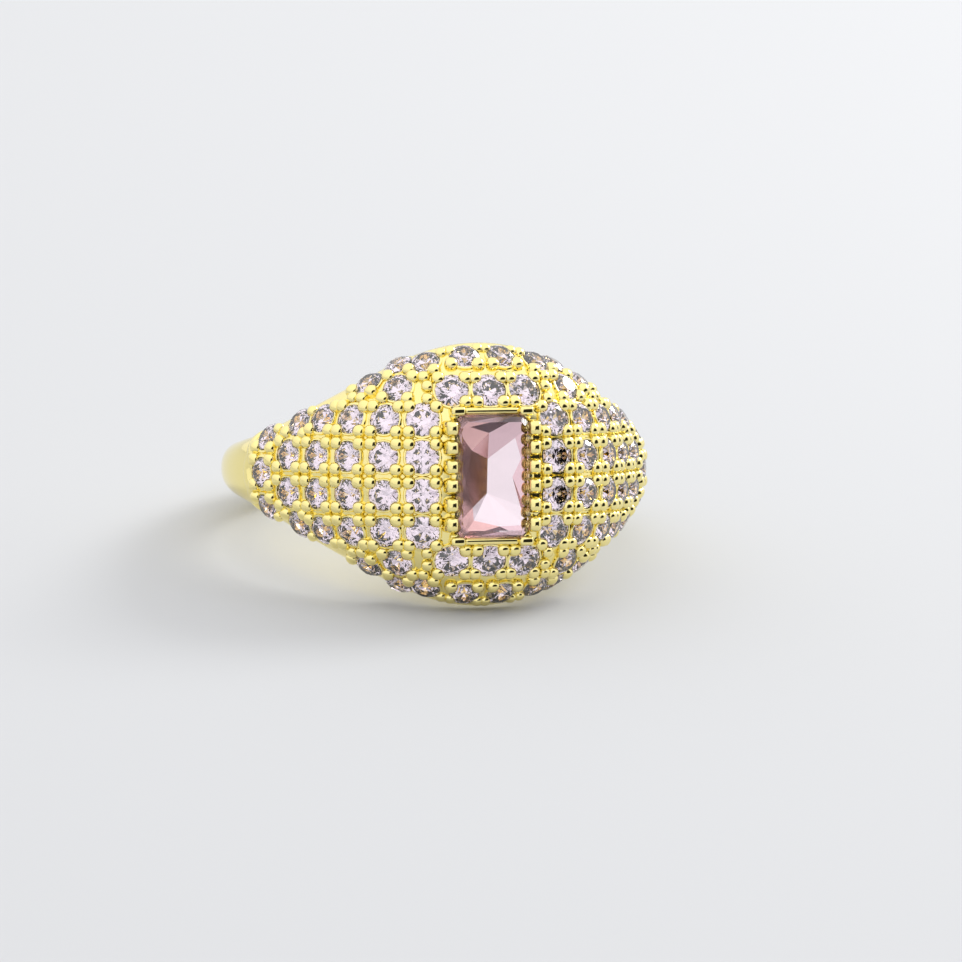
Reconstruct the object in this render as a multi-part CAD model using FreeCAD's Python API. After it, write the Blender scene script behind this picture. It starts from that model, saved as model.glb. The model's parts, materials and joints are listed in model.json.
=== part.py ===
import FreeCAD, Part
import math
import os

# Cocktail ring: one gold-plated casting that carries a rectangular centre
# stone and a pave of round stones over a domed head and both shoulders.
#
# Design frame: the finger axis is Z, the head faces -Y and X runs across.
# The last step lays the ring on its side, the way it rests on a table.
# Sizes are in millimetres and angles in degrees.

# --- band -------------------------------------------------------------------
BORE_DIAMETER = 17.3            # finger hole, US size 7
SHANK_THICKNESS = 1.85          # bore wall to the crown of the shank
SHANK_HALF_WIDTH = 1.25         # at the back of the finger
SHANK_SIDE_DROP = 1.45          # fall of the shank's D section to its sides

# --- domed head and shoulders -----------------------------------------------
DOME_RISE = 1.1                 # head above the shank's outer circle
DOME_SIDE_DROP = 3.9            # fall of the dome from its middle to its rim
DOME_SPREAD = 42.2              # half angle over which the dome rises
DOME_STEEPNESS = 4.8
SHOULDER_SPREAD = 54.5          # half angle over which the band widens
SHOULDER_STEEPNESS = 2.1
SECTION_POWER = 2.26            # 2 is an ellipse, larger is squarer
RIM_MARGIN = 0.77               # centres of the last row to the rim
DOME_WALL = 1.55                # metal between the dome and the hollow behind it
HOLLOW_DEPTH = 1.35             # hollow behind the head, in from the bore wall
HOLLOW_SPREAD = 40.0            # half angle that the hollow spans
HOLLOW_RIM = 1.15               # solid edge left at each side of the hollow

# --- stones -----------------------------------------------------------------
CENTRE_LENGTH = 6.0             # along the finger axis
CENTRE_WIDTH = 4.0
CENTRE_CORNER = 0.45            # cut across each corner
CENTRE_TABLE_RISE = 0.35        # table above the dome's crown
CENTRE_CROWN = 0.55             # table to girdle
CENTRE_BEVEL = 0.6              # table edge to girdle, seen from above
CENTRE_BELT = 0.12              # thickness of the girdle
CENTRE_PAVILION = 1.6           # girdle to keel
CENTRE_KEEL = 0.86              # share of the half width that the pavilion draws in
HALO_DIAMETER = 1.65            # round stones next to the centre stone
PAVE_DIAMETER = 1.5             # all the other round stones
STONE_GAP = 0.22                # between neighbouring stones along the finger axis
COLUMN_GAP = 0.44               # between neighbouring columns along the band
HALO_GAP = 0.62                 # centre stone to the halo stones beside it
HALO_END_GAP = 0.355            # centre stone to the halo stones past its ends
ROW_GAP = 0.075                 # between the two rows past each end
RIM_ROW_SAG = 0.3               # outer pair of the rim row below its inner pair
OUTER_LEAN = 2.0                # outer stones of the fifth column, degrees towards the head
INNER_CORNER_SHIFT = 0.54       # corner stones' arc short of the second column's
OUTER_CORNER_SHIFT = 0.61       # the same, short of the third column's
RIM_CORNER_SHIFT = 0.31         # the same at the rim, short of the second column's
COLUMN_COUNT = 6                # columns on each shoulder, the halo's included

# --- setting ----------------------------------------------------------------
BEAD_DIAMETER = 0.66            # rounded grains, four to a round stone
BEAD_RISE = 0.1                 # bead centre above the dome's skin
BEAD_SPACING = 0.02             # between the beads of one cluster
BEAD_RIM = 0.2                  # bead centres stay this far inside the rim
PRONG_WIDTH = 0.68              # square prongs beside the centre stone
PRONG_OFFSET = 0.08             # middle of the prongs outside the centre stone's edge
PRONG_RISE = 0.5                # prong tops above the dome's crown
BEZEL_WALL = 0.34               # low wall round the centre stone
BEZEL_RISE = 0.12               # bezel top above the dome's crown
SEAT_CLEARANCE = 0.03           # round each girdle and over each crown
COLLAR_WIDTH = 0.5              # raised edge where the pave ends on the shank
COLLAR_RISE = 0.12

BORE_RADIUS = BORE_DIAMETER / 2
STONE_PITCH = HALO_DIAMETER + STONE_GAP
COLUMN_PITCH = PAVE_DIAMETER + COLUMN_GAP
ROW_STEP = (HALO_DIAMETER + PAVE_DIAMETER) / 2 + ROW_GAP
CLEAR = 6.0                     # how far cutting tools run past the metal
ALL_SIDES = ((1, 1), (1, -1), (-1, 1), (-1, -1))


# --- shape of the skin ------------------------------------------------------
def fade(angle, spread, steepness):
    """One at the middle of the head, falling to nothing past the spread."""
    return math.exp(-((abs(angle) / spread) ** steepness))


def first_row_height():
    """Height of the stones past each end of the centre stone."""
    beside_centre = CENTRE_LENGTH / 2 + HALO_END_GAP + HALO_DIAMETER / 2
    past_columns = 2.235 * STONE_PITCH
    return max(beside_centre, past_columns)


def half_width(angle):
    """Half the band's width along the finger axis."""
    head = first_row_height() + ROW_STEP + RIM_MARGIN
    return SHANK_HALF_WIDTH + (head - SHANK_HALF_WIDTH) * fade(angle, SHOULDER_SPREAD, SHOULDER_STEEPNESS)


def crown_radius(angle):
    """Radius of the skin at the middle of the band."""
    return BORE_RADIUS + SHANK_THICKNESS + DOME_RISE * fade(angle, DOME_SPREAD, DOME_STEEPNESS)


def side_drop(angle):
    """Fall of the skin from the middle of the band to its side."""
    return SHANK_SIDE_DROP + (DOME_SIDE_DROP - SHANK_SIDE_DROP) * fade(angle, DOME_SPREAD, DOME_STEEPNESS)


def place(angle, radius, height):
    turn = math.radians(angle)
    return FreeCAD.Vector(radius * math.sin(turn), -radius * math.cos(turn), height)


def skin_point(angle, height):
    """Point of the skin at an angle round the finger and a height along it."""
    part = min(abs(height) / half_width(angle), 0.9999)
    fall = 1 - (1 - part ** SECTION_POWER) ** (1 / SECTION_POWER)
    return place(angle, crown_radius(angle) - side_drop(angle) * fall, height)


def skin_frame(angle, height):
    """Point, outward normal and two tangents: round the band, then along the finger."""
    step = 0.02
    point = skin_point(angle, height)
    around = skin_point(angle + step * 5, height) - skin_point(angle - step * 5, height)
    along = skin_point(angle, height + step) - skin_point(angle, height - step)
    normal = around.cross(along).normalize()
    around.normalize()
    return point, normal, around, normal.cross(around).normalize()


def angle_at_arc(arc):
    """Angle at which the middle of the skin has run this far from the head's middle."""
    angle = 0.0
    step = 0.1
    run = 0.0
    while run < arc:
        run += crown_radius(angle + step / 2) * math.radians(step)
        angle += step
    return angle


def angle_at_side(across, height):
    """Angle at which the skin, at this height, lies this far across from the middle."""
    angle = math.degrees(across / crown_radius(0))
    for _ in range(20):
        point = skin_point(angle, height)
        angle = math.degrees(math.asin(across / math.hypot(point.x, point.y)))
    return angle


# --- ring blank -------------------------------------------------------------
def section_curve(angle, lift):
    """Points of the band's section, from the lower inside edge over the skin to the upper one."""
    crown = crown_radius(angle) + lift
    drop = side_drop(angle)
    half = half_width(angle) + lift
    inside = min(crown - drop - 0.3, BORE_RADIUS - 0.5)
    foot = crown - drop
    points = [place(angle, inside, -half), place(angle, (inside + foot) / 2, -half)]
    steps = 14
    for i in range(steps + 1):
        turn = math.pi * (i / steps - 0.5)
        radius = crown - drop * (1 - abs(math.cos(turn)) ** (2 / SECTION_POWER))
        height = math.copysign(half * abs(math.sin(turn)) ** (2 / SECTION_POWER), turn)
        points.append(place(angle, radius, height))
    points.append(place(angle, (inside + foot) / 2, half))
    points.append(place(angle, inside, half))
    return points


def closed_band(section):
    """Solid ring through a section at even angles, in a front patch and two back ones."""
    stations = 60
    grid = [section(-180 + 360 * i / stations) for i in range(stations + 1)]
    surface = Part.BSplineSurface()
    surface.interpolate(grid)
    start, end, low, high = surface.bounds()
    front = [surface.parameter(place(angle, crown_radius(angle), 0))[0] for angle in (-100, 100)]
    cuts = [start] + front + [end]
    faces = []
    for first, last in zip(cuts, cuts[1:]):
        patch = surface.copy()
        patch.segment(first, last, low, high)
        faces.append(patch.toShape())
        faces.append(Part.makeRuledSurface(patch.vIso(low).toShape(), patch.vIso(high).toShape()))
    shell = Part.makeShell(faces)
    shell.sewShape()
    solid = Part.makeSolid(shell)
    if solid.Volume < 0:
        solid.reverse()
    return solid


def band_blank():
    return closed_band(lambda angle: section_curve(angle, 0.0))


def finger_bore():
    length = 4 * first_row_height() + 2 * CLEAR
    return Part.makeCylinder(BORE_RADIUS, length, FreeCAD.Vector(0, 0, -length / 2))


def head_hollow():
    """The relief behind the dome, open to the finger hole."""
    depth = min(HOLLOW_DEPTH, SHANK_THICKNESS + DOME_RISE - DOME_WALL)
    base = BORE_RADIUS - 0.6
    reach = half_width(0) - HOLLOW_RIM
    sections = []
    count = 12
    for i in range(count + 1):
        angle = HOLLOW_SPREAD * math.sin(math.pi * (i / count - 0.5))
        part = max(1 - (angle / HOLLOW_SPREAD) ** 2, 0.0) ** 0.5
        top = base + (0.6 + depth) * part + 0.05
        half = (half_width(angle) - HOLLOW_RIM) * (0.25 + 0.75 * part)
        points = []
        steps = 10
        for j in range(steps + 1):
            turn = math.pi * (j / steps - 0.5)
            radius = base + (top - base) * abs(math.cos(turn)) ** (2 / SECTION_POWER)
            height = min(half, reach) * math.copysign(abs(math.sin(turn)) ** (2 / SECTION_POWER), turn)
            points.append(place(angle, radius, height))
        curve = Part.BSplineCurve()
        curve.interpolate(points)
        floor = Part.LineSegment(points[-1], points[0]).toShape()
        sections.append(Part.Wire([curve.toShape(), floor]))
    return Part.makeLoft(sections, True, False)


def end_collars():
    """Raised edges across the band where the pave stops, one on each side."""
    outer = closed_band(lambda angle: section_curve(angle, COLLAR_RISE))
    middle = angle_at_arc(column_arc(COLUMN_COUNT - 1) + PAVE_DIAMETER / 2 + COLLAR_WIDTH)
    half_angle = math.degrees(COLLAR_WIDTH / 2 / crown_radius(middle))
    collars = []
    for side in (1, -1):
        edges = [side * (middle - half_angle), side * (middle + half_angle)]
        height = 2 * first_row_height()
        corners = [FreeCAD.Vector(0, 0, -height)]
        corners += [place(angle, crown_radius(0) + CLEAR, -height) for angle in edges]
        wedge = Part.Face(Part.makePolygon(corners + [corners[0]])).extrude(FreeCAD.Vector(0, 0, 2 * height))
        collars.append(outer.common(wedge))
    return collars


# --- stone layout -----------------------------------------------------------
def column_arc(column):
    """Arc from the head's middle to a column of stones; column 0 is the halo's."""
    first = CENTRE_WIDTH / 2 + HALO_GAP + HALO_DIAMETER / 2
    return first + column * COLUMN_PITCH


def column_heights(column, angle):
    """Heights of a column's stones, for the upper half of the ring."""
    edge = half_width(angle) - PAVE_DIAMETER / 3
    if column == COLUMN_COUNT - 1:
        return [0.0, min(0.94 * STONE_PITCH, edge)]
    return [STONE_PITCH / 2, min(1.475 * STONE_PITCH, edge)]


def mirrored(angle, height, sides):
    """The seats at plus and minus one angle or height, without repeats."""
    seats = []
    for across, along in sides:
        seat = (across * angle, along * height)
        if seat not in seats:
            seats.append(seat)
    return seats


def stone_groups():
    """Every round stone by node name: a list of (angle, height, diameter)."""
    groups = {}

    def add(name, angle, height, diameter, sides):
        seats = groups.setdefault(name, [])
        seats += [(a, h, diameter) for a, h in mirrored(angle, height, sides)]

    right = ((1, 1), (1, -1))
    left = ((-1, 1), (-1, -1))
    column_names = ["halo", "second", "third", "fourth", "fifth", "sixth"]
    angles = [angle_at_arc(column_arc(column)) for column in range(COLUMN_COUNT)]
    for column, angle in enumerate(angles):
        diameter = HALO_DIAMETER if column == 0 else PAVE_DIAMETER
        for side, sides in (("left", left), ("right", right)):
            inner, outer = column_heights(column, angle)
            lean = OUTER_LEAN * (column / 4) ** 4 if column < COLUMN_COUNT - 1 else 0.0
            add(f"{column_names[column]}_column_{side}", angle, inner, diameter, sides)
            add(f"{column_names[column]}_column_{side}", angle - lean, outer, diameter, sides)

    first = first_row_height()
    last = first + ROW_STEP
    outer_across = 1.5 * STONE_PITCH
    outer_height = last - RIM_ROW_SAG
    for level, up in (("upper", 1), ("lower", -1)):
        pair = ((1, up), (-1, up))
        add(f"halo_row_{level}", 0.0, first, HALO_DIAMETER, pair)
        add(f"halo_row_{level}", angle_at_side(0.98 * STONE_PITCH, first), first, HALO_DIAMETER, pair)
        add(f"rim_row_{level}", angle_at_side(STONE_PITCH / 2, last), last, PAVE_DIAMETER, pair)
        add(f"rim_row_{level}", angle_at_side(outer_across, outer_height), outer_height, PAVE_DIAMETER, pair)

    second_top = column_heights(1, angles[1])[1]
    inner_corner = (angle_at_arc(column_arc(1) - INNER_CORNER_SHIFT), (second_top + outer_height) / 2 + 0.15)
    third_angle = angle_at_arc(column_arc(2) - OUTER_CORNER_SHIFT)
    outer_corner = (third_angle, half_width(third_angle) - 0.5)
    rim_angle = angle_at_arc(column_arc(1) - RIM_CORNER_SHIFT)
    rim_corner = (rim_angle, half_width(rim_angle) - 0.28)
    for level, up in (("upper", 1), ("lower", -1)):
        for side, across in (("left", -1), ("right", 1)):
            for angle, height in (inner_corner, outer_corner, rim_corner):
                add(f"corner_{level}_{side}", angle, height, PAVE_DIAMETER, ((across, up),))
    return groups


# --- stones and their seats -------------------------------------------------
def turned(profile, point, normal, around):
    """Solid of revolution from (radius, height) pairs, stood on the skin."""
    corners = [FreeCAD.Vector(r, 0, h) for r, h in profile]
    face = Part.Face(Part.makePolygon(corners + [corners[0]]))
    solid = face.revolve(FreeCAD.Vector(), FreeCAD.Vector(0, 0, 1), 360)
    along = normal.cross(around)
    matrix = FreeCAD.Matrix(around.x, along.x, normal.x, point.x,
                            around.y, along.y, normal.y, point.y,
                            around.z, along.z, normal.z, point.z,
                            0, 0, 0, 1)
    solid.Placement = FreeCAD.Placement(matrix)
    return solid


def round_sizes(diameter):
    """Table radius, crown height, girdle height and pavilion depth of a brilliant."""
    return 0.29 * diameter, 0.15 * diameter, 0.04 * diameter, 0.42 * diameter


def round_stone(seat):
    angle, height, diameter = seat
    table, crown, girdle, pavilion = round_sizes(diameter)
    radius = diameter / 2
    point, normal, around, _ = skin_frame(angle, height)
    profile = [(0, crown), (table, crown), (radius, 0), (radius, -girdle), (0, -girdle - pavilion)]
    return turned(profile, point, normal, around)


def round_seat(seat):
    """Cutter for one round stone: it bears on the pavilion and is clear elsewhere."""
    angle, height, diameter = seat
    table, crown, girdle, pavilion = round_sizes(diameter)
    radius = diameter / 2
    point, normal, around, _ = skin_frame(angle, height)
    hole = 0.45 * radius
    hole_top = -girdle - pavilion * (1 - hole / radius)
    outer = radius + SEAT_CLEARANCE
    profile = [(0, crown + BEAD_DIAMETER), (table + SEAT_CLEARANCE, crown + BEAD_DIAMETER),
               (table + SEAT_CLEARANCE, crown + SEAT_CLEARANCE), (outer, SEAT_CLEARANCE),
               (outer, -girdle), (radius, -girdle), (hole, hole_top),
               (hole, -DOME_WALL - DOME_RISE), (0, -DOME_WALL - DOME_RISE)]
    return turned(profile, point, normal, around)


def centre_outline(grow, radius):
    """Cut-cornered rectangle round the centre stone's axis, at a distance from the finger axis."""
    half_x = CENTRE_WIDTH / 2 + grow
    half_z = CENTRE_LENGTH / 2 + grow
    cut = CENTRE_CORNER * half_x / (CENTRE_WIDTH / 2)
    corners = [(half_x, half_z - cut), (half_x - cut, half_z), (cut - half_x, half_z), (-half_x, half_z - cut),
               (-half_x, cut - half_z), (cut - half_x, -half_z), (half_x - cut, -half_z), (half_x, cut - half_z)]
    return [FreeCAD.Vector(x, -radius, z) for x, z in corners]


def faceted(outlines):
    """Closed solid with flat facets between one outline and the next."""
    faces = [Part.Face(Part.makePolygon(outline + [outline[0]])) for outline in (outlines[0], outlines[-1])]
    for upper, lower in zip(outlines, outlines[1:]):
        for i in range(len(upper)):
            j = (i + 1) % len(upper)
            faces.append(Part.Face(Part.makePolygon([upper[i], upper[j], lower[j], lower[i], upper[i]])))
    shell = Part.makeShell(faces)
    shell.sewShape()
    solid = Part.makeSolid(shell)
    if solid.Volume < 0:
        solid.reverse()
    return solid


def centre_table():
    return crown_radius(0) + CENTRE_TABLE_RISE


def centre_girdle():
    return centre_table() - CENTRE_CROWN


def pavilion_inset(below):
    """How far the pavilion has drawn in at a depth below the girdle."""
    return -CENTRE_KEEL * CENTRE_WIDTH / 2 * below / CENTRE_PAVILION


def centre_stone():
    girdle = centre_girdle()
    belt = girdle - CENTRE_BELT
    return faceted([centre_outline(-CENTRE_BEVEL, centre_table()), centre_outline(0, girdle),
                    centre_outline(0, belt),
                    centre_outline(pavilion_inset(CENTRE_PAVILION), belt - CENTRE_PAVILION)])


def centre_seat():
    """Cutter for the centre stone: it bears under the girdle and opens into the hollow below."""
    girdle = centre_girdle()
    belt = girdle - CENTRE_BELT
    lip = SEAT_CLEARANCE - CENTRE_BEVEL
    ledge = 0.25 * CENTRE_PAVILION
    well = pavilion_inset(ledge)
    return faceted([centre_outline(lip, centre_table() + CLEAR), centre_outline(lip, centre_table() + SEAT_CLEARANCE),
                    centre_outline(SEAT_CLEARANCE, girdle + SEAT_CLEARANCE), centre_outline(SEAT_CLEARANCE, belt),
                    centre_outline(0, belt), centre_outline(well, belt - ledge),
                    centre_outline(well, BORE_RADIUS - 1)])


def centre_bezel():
    """Low wall round the centre stone, standing on the dome."""
    top = crown_radius(0) + BEZEL_RISE
    foot = centre_girdle() - 0.6
    return faceted([centre_outline(BEZEL_WALL, top), centre_outline(BEZEL_WALL, foot)])


def centre_prongs():
    """Square rounded prongs along both long sides of the centre stone."""
    per_side = 2 * round(CENTRE_LENGTH / STONE_PITCH)
    top = crown_radius(0) + PRONG_RISE
    foot = centre_girdle() - 0.5
    length = STONE_PITCH / 2 - 0.2
    middle = CENTRE_WIDTH / 2 + PRONG_OFFSET
    prongs = []
    for side in (-1, 1):
        for i in range(per_side):
            height = (i - (per_side - 1) / 2) * STONE_PITCH / 2
            corner = FreeCAD.Vector(side * middle - PRONG_WIDTH / 2, -top, height - length / 2)
            prong = Part.makeBox(PRONG_WIDTH, top - foot, length, corner)
            upper = [edge for edge in prong.Edges if all(abs(v.Y + top) < 1e-6 for v in edge.Vertexes)]
            prongs.append(prong.makeFillet(0.2, upper))
    return prongs


def bead_places(seat):
    """Centres and axes of the four grains round one stone."""
    angle, height, _ = seat
    point, normal, around, along = skin_frame(angle, height)
    reach_around = (COLUMN_PITCH - BEAD_DIAMETER - BEAD_SPACING) / 2
    reach_along = (STONE_PITCH - BEAD_DIAMETER - BEAD_SPACING) / 2
    places = []
    for side_around, side_along in ALL_SIDES:
        near = point + around * (side_around * reach_around) + along * (side_along * reach_along)
        turn = math.degrees(math.atan2(near.x, -near.y))
        limit = half_width(turn) - BEAD_RIM
        places.append((skin_point(turn, max(-limit, min(limit, near.z))) + normal * BEAD_RISE, normal))
    return places


def setting_beads(seats):
    """Grains for every round stone: one is shared where two would merge, none stands on a stone."""
    middles = [(skin_point(angle, height), diameter / 2) for angle, height, diameter in seats]
    places = []
    for seat in seats:
        for centre, axis in bead_places(seat):
            merges = any(centre.distanceToPoint(other) < BEAD_DIAMETER / 2 for other, _ in places)
            covered = any(centre.distanceToPoint(middle) < radius for middle, radius in middles)
            if not merges and not covered:
                places.append((centre, axis))
    return [Part.makeSphere(BEAD_DIAMETER / 2, centre, axis) for centre, axis in places]


# --- casting ----------------------------------------------------------------
def casting(groups):
    """Band, head, bezel, prongs and beads as one piece, cut for every stone, loose chips dropped."""
    seats = [seat for group in groups.values() for seat in group]
    raised = [centre_bezel()] + centre_prongs() + end_collars() + setting_beads(seats)
    metal = band_blank().fuse(raised)
    metal = metal.cut([finger_bore(), head_hollow(), centre_seat()])
    for region in ("column", "row", "corner"):
        in_region = [seat for name, group in groups.items() if region in name for seat in group]
        metal = metal.cut([round_seat(seat) for seat in in_region])
    return max(metal.Solids, key=lambda solid: solid.Volume)


# --- resting pose -----------------------------------------------------------
def lowest_reach(angle, tilt):
    """How far the section at this angle reaches below the origin once the head is tipped up."""
    lean = math.radians(tilt)
    reach = 0.0
    for point in section_curve(angle, 0.0):
        if math.hypot(point.x, point.y) >= BORE_RADIUS:
            reach = max(reach, -(point.z * math.cos(lean) - point.y * math.sin(lean)))
    return reach


def resting_tilt():
    """Tilt at which the rim of the head and the back of the shank both touch the table."""
    low = 0.0
    high = 40.0
    for _ in range(50):
        middle = (low + high) / 2
        if lowest_reach(0, middle) > lowest_reach(180, middle):
            low = middle
        else:
            high = middle
    return low


def laid_on_side(pieces):
    """The pieces turned head up by the resting tilt, bottom centre of their box at the origin."""
    tilt = FreeCAD.Rotation(FreeCAD.Vector(1, 0, 0), -resting_tilt())
    turned_pieces = {}
    for name, shape in pieces.items():
        shape = shape.copy()
        shape.Placement = FreeCAD.Placement(FreeCAD.Vector(), tilt).multiply(shape.Placement)
        turned_pieces[name] = shape
    box = FreeCAD.BoundBox()
    for shape in turned_pieces.values():
        box.add(shape.optimalBoundingBox())
    shift = FreeCAD.Vector(-box.Center.x, -box.Center.y, -box.ZMin)
    for shape in turned_pieces.values():
        shape.translate(shift)
    print(f"tilt {-tilt.Angle:.5f} rad, box {box.XLength:.3f} x {box.YLength:.3f} x {box.ZLength:.3f} mm")
    print("bore axis passes", shift, "along", tilt.multVec(FreeCAD.Vector(0, 0, 1)))
    return turned_pieces


def main():
    os.makedirs("parts", exist_ok=True)
    groups = stone_groups()
    pieces = {"ring_casting": casting(groups), "centre_stone": centre_stone()}
    for name, seats in groups.items():
        pieces[f"{name}_stones"] = Part.makeCompound([round_stone(seat) for seat in seats])
    for name, shape in laid_on_side(pieces).items():
        shape.exportStep(f"parts/{name}.step")


if __name__ == "__main__":
    main()
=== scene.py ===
import json
import math

import bmesh
import bpy
import numpy as np
from mathutils import Matrix, Vector


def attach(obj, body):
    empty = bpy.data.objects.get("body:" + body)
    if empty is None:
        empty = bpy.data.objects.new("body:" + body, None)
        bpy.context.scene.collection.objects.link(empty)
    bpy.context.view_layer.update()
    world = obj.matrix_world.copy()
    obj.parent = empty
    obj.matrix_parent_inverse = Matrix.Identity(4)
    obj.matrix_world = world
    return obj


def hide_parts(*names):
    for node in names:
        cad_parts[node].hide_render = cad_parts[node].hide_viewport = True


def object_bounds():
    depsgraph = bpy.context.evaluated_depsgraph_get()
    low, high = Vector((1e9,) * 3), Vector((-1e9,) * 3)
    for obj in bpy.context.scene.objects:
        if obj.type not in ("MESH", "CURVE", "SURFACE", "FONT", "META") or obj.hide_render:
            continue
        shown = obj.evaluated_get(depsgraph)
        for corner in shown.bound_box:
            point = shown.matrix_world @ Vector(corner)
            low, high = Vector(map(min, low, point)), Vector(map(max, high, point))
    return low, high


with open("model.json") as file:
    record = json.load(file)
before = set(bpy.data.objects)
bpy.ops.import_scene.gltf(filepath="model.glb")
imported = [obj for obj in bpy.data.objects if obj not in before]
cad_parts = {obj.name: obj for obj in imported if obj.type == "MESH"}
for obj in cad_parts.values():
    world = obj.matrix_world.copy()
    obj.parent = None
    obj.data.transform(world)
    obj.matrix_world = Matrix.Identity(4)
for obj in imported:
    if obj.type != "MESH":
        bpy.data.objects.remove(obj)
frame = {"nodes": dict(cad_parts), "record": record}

bl_info = {
    "name": "Pave cocktail ring",
    "version": (1, 0, 0),
    "blender": (4, 5, 0),
    "location": "View3D > Sidebar > Ring",
    "description": "Gold-plated ring with a rectangular centre stone and a pave of round stones",
    "category": "Add Mesh",
}

CAD_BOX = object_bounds()
MM = 0.001
BODY = "root"

# The finger hole gives the ring's own frame: Z along the finger, the head at -Y, X across.
FINGER_HOLE = next(mount for mount in frame["record"]["mounts"] if mount["name"] == "finger_bore")
RING_CENTRE = Vector(FINGER_HOLE["pos_m"])
ALONG_FINGER = Vector(FINGER_HOLE["axis"]).normalized()
ACROSS = Vector((1, 0, 0))
TO_BACK = ALONG_FINGER.cross(ACROSS)
RING_AXES = np.array([ACROSS, TO_BACK, ALONG_FINGER])
BORE_RADIUS = FINGER_HOLE["dims"]["r_mm"]
ROUND_NODES = sorted(name for name in frame["nodes"] if name.endswith("_stones"))


# --- colours and units --------------------------------------------------------
def linear(colour):
    """Linear RGBA from an sRGB hex value."""
    shares = [int(colour[i:i + 2], 16) / 255 for i in (0, 2, 4)]
    return [s / 12.92 if s <= 0.04045 else ((s + 0.055) / 1.055) ** 2.4 for s in shares] + [1.0]


def to_row(points):
    """Ring coordinates in millimetres to the row's frame in metres."""
    return np.asarray(points) @ RING_AXES * MM + np.array(RING_CENTRE)


def to_ring(points):
    """The row's frame in metres to ring coordinates in millimetres."""
    return (np.asarray(points) - np.array(RING_CENTRE)) @ RING_AXES.T / MM


# --- properties ---------------------------------------------------------------
def length(name, default, description):
    """A size in millimetres or degrees, or a plain number, as its description says."""
    return bpy.props.FloatProperty(name=name, default=default, description=description, precision=3)


def colour(name, default, description):
    return bpy.props.FloatVectorProperty(name=name, default=linear(default), description=description,
                                         subtype="COLOR", size=4, min=0, max=1)


class RingBandSizes(bpy.types.PropertyGroup):
    """The band's skin, in millimetres and degrees."""
    shank_thickness: length("Shank thickness", 1.85, "Bore wall to the crown of the shank, mm")
    shank_half_width: length("Shank half width", 1.25, "At the back of the finger, mm")
    shank_side_drop: length("Shank side drop", 1.45, "Fall of the D section to its sides, mm")
    dome_rise: length("Dome rise", 1.1, "Head above the shank's circle, mm")
    dome_side_drop: length("Dome side drop", 3.9, "Fall of the dome to its rim, mm")
    dome_spread: length("Dome spread", 42.2, "Half angle over which the dome rises, degrees")
    dome_steepness: length("Dome steepness", 4.8, "How sharply the dome ends")
    head_half_width: length("Head half width", 6.6, "At the middle of the head, mm")
    shoulder_spread: length("Shoulder spread", 54.5, "Half angle over which the band widens, degrees")
    shoulder_steepness: length("Shoulder steepness", 2.1, "How sharply the shoulders narrow")
    section_power: length("Section power", 2.26, "2 is an ellipse, larger is squarer")
    hollow_depth: length("Hollow depth", 1.35, "Relief behind the head, mm")
    hollow_spread: length("Hollow spread", 40.0, "Half angle of the relief, degrees")
    hollow_rim: length("Hollow rim", 1.15, "Solid edge beside the relief, mm")
    rim_lip: length("Rim lip", 0.72, "Polished edge outside the last stones, mm")
    sink: length("Pave sink", 0.06, "Floor between the settings below the skin, mm")
    collar_rise: length("Collar rise", 0.1, "Edge where the pave ends, mm")


class RingSettingSizes(bpy.types.PropertyGroup):
    """Beads, cups, prongs and bezel, in millimetres."""
    column_pitch: length("Column pitch", 1.94, "Stone to stone round the band, mm")
    stone_pitch: length("Stone pitch", 1.87, "Stone to stone along the finger, mm")
    bead_diameter: length("Bead diameter", 0.69, "Rounded grains, mm")
    bead_gap: length("Bead gap", -0.07, "Between the beads of one cluster, mm")
    bead_rim: length("Bead rim", 0.45, "Bead centres to the rim, mm")
    cup_wall: length("Cup wall", 0.12, "Thin wall round each stone, mm")
    prong_width: length("Prong width", 0.68, "Square prongs, across, mm")
    prong_length: length("Prong length", 0.8, "Square prongs, along the finger, mm")
    prong_offset: length("Prong offset", 0.08, "Middle of the prongs outside the stone's edge, mm")
    prong_rise: length("Prong rise", 0.5, "Prong tops above the dome's crown, mm")


class RingColours(bpy.types.PropertyGroup):
    """Finishes that a user would change."""
    gold: colour("Gold", "FAEBA0", "Pale gold plate")
    centre: colour("Centre stone", "FFF4F6", "Body of the rose stone")
    # The three foil tints below paint light and shade into the centre stone's back: deep is painted shade over the
    # stone's rose colour, pale is a painted highlight, mauve is a painted half-shade.
    centre_rose_painted_shade: colour("Deep facets", "FFD6D3", "Deep rose facets of its pavilion")
    centre_painted_highlight: colour("Pale facets", "FFFAFF", "Pale facets of its pavilion")
    centre_mauve_painted_half_shade: colour("Mauve facets", "F6DDE4", "Greyish facets of its back")
    round_stones: colour("Round stones", "FDECF8", "Pale lavender-pink cubic zirconia")
    floor: colour("Floor", "CCCDCE", "Pale paper")


# --- nodes --------------------------------------------------------------------
def add_node(tree, kind, settings=None, inputs=None, links=None):
    """Adds a node, sets its properties and inputs, and links sockets into it."""
    node = tree.nodes.new(kind)
    for name, value in (settings or {}).items():
        setattr(node, name, value)
    for name, value in (inputs or {}).items():
        node.inputs[name].default_value = value
    for name, socket in (links or {}).items():
        tree.links.new(socket, node.inputs[name])
    return node


def new_material(name):
    material = bpy.data.materials.new(name)
    material.use_nodes = True
    material.node_tree.nodes.clear()
    return material, material.node_tree


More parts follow.
